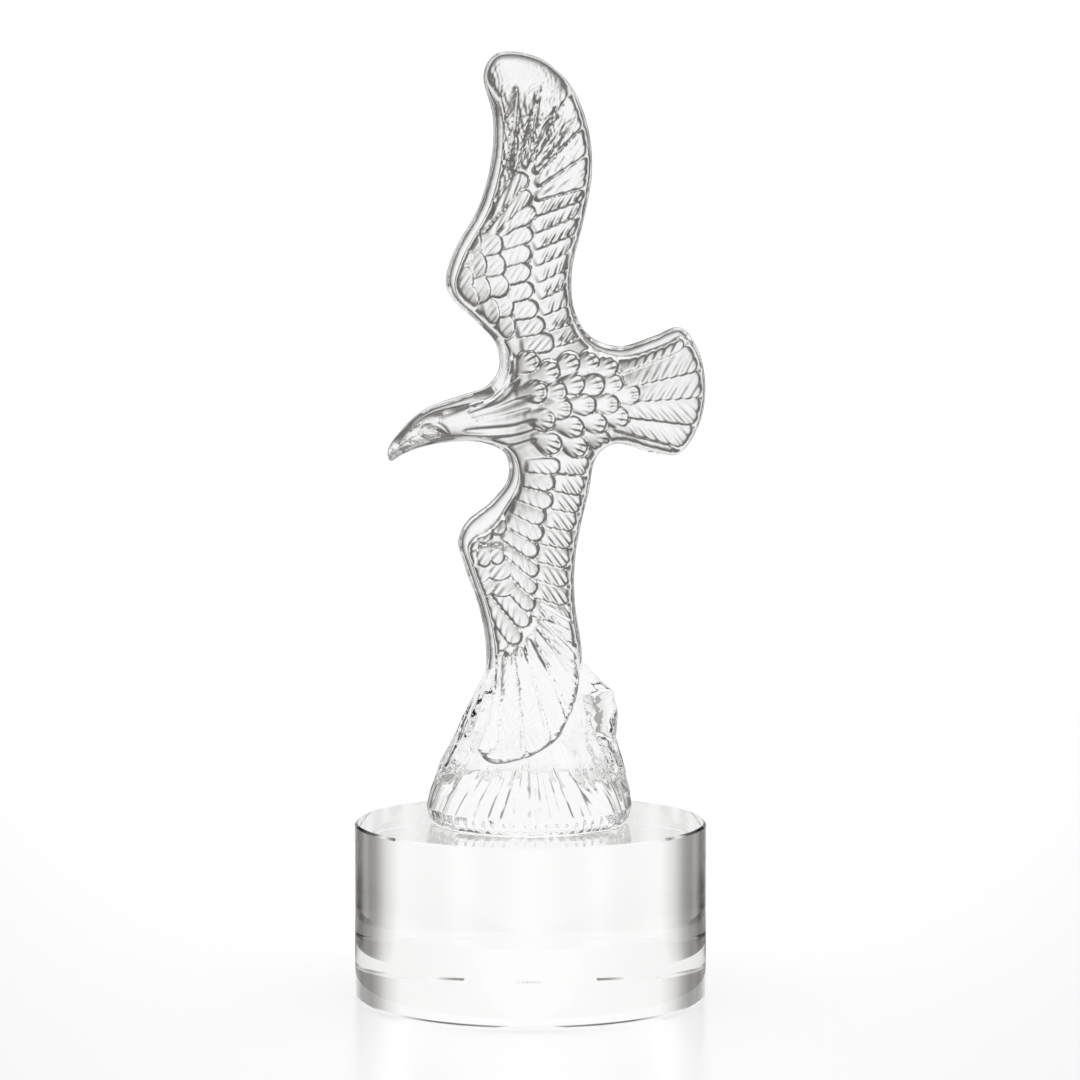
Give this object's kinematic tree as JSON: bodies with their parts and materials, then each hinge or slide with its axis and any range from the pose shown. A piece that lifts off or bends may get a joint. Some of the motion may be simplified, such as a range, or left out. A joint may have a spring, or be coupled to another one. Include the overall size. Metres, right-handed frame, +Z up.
{
  "type": "glass eagle trophy",
  "caption": "Clear glass award: a flying eagle with its wings held upright, cast with the rock below its lower wing, on a solid round glass base.",
  "frame": {"origin": "centre of the base's underside", "axes": "+Z up, the eagle's carved face towards -Y, its beak towards -X and its tail towards +X"},
  "size_m": [0.09, 0.09, 0.2404],
  "materials": {
    "figure_glass": "clear pressed glass, fire polished, feathers in relief on the front",
    "base_glass": "clear optical glass, polished all over, with small chamfers"
  },
  "bodies": {
    "root": {"eagle_figure": "figure_glass", "round_base": "base_glass"}
  },
  "joints": []
}
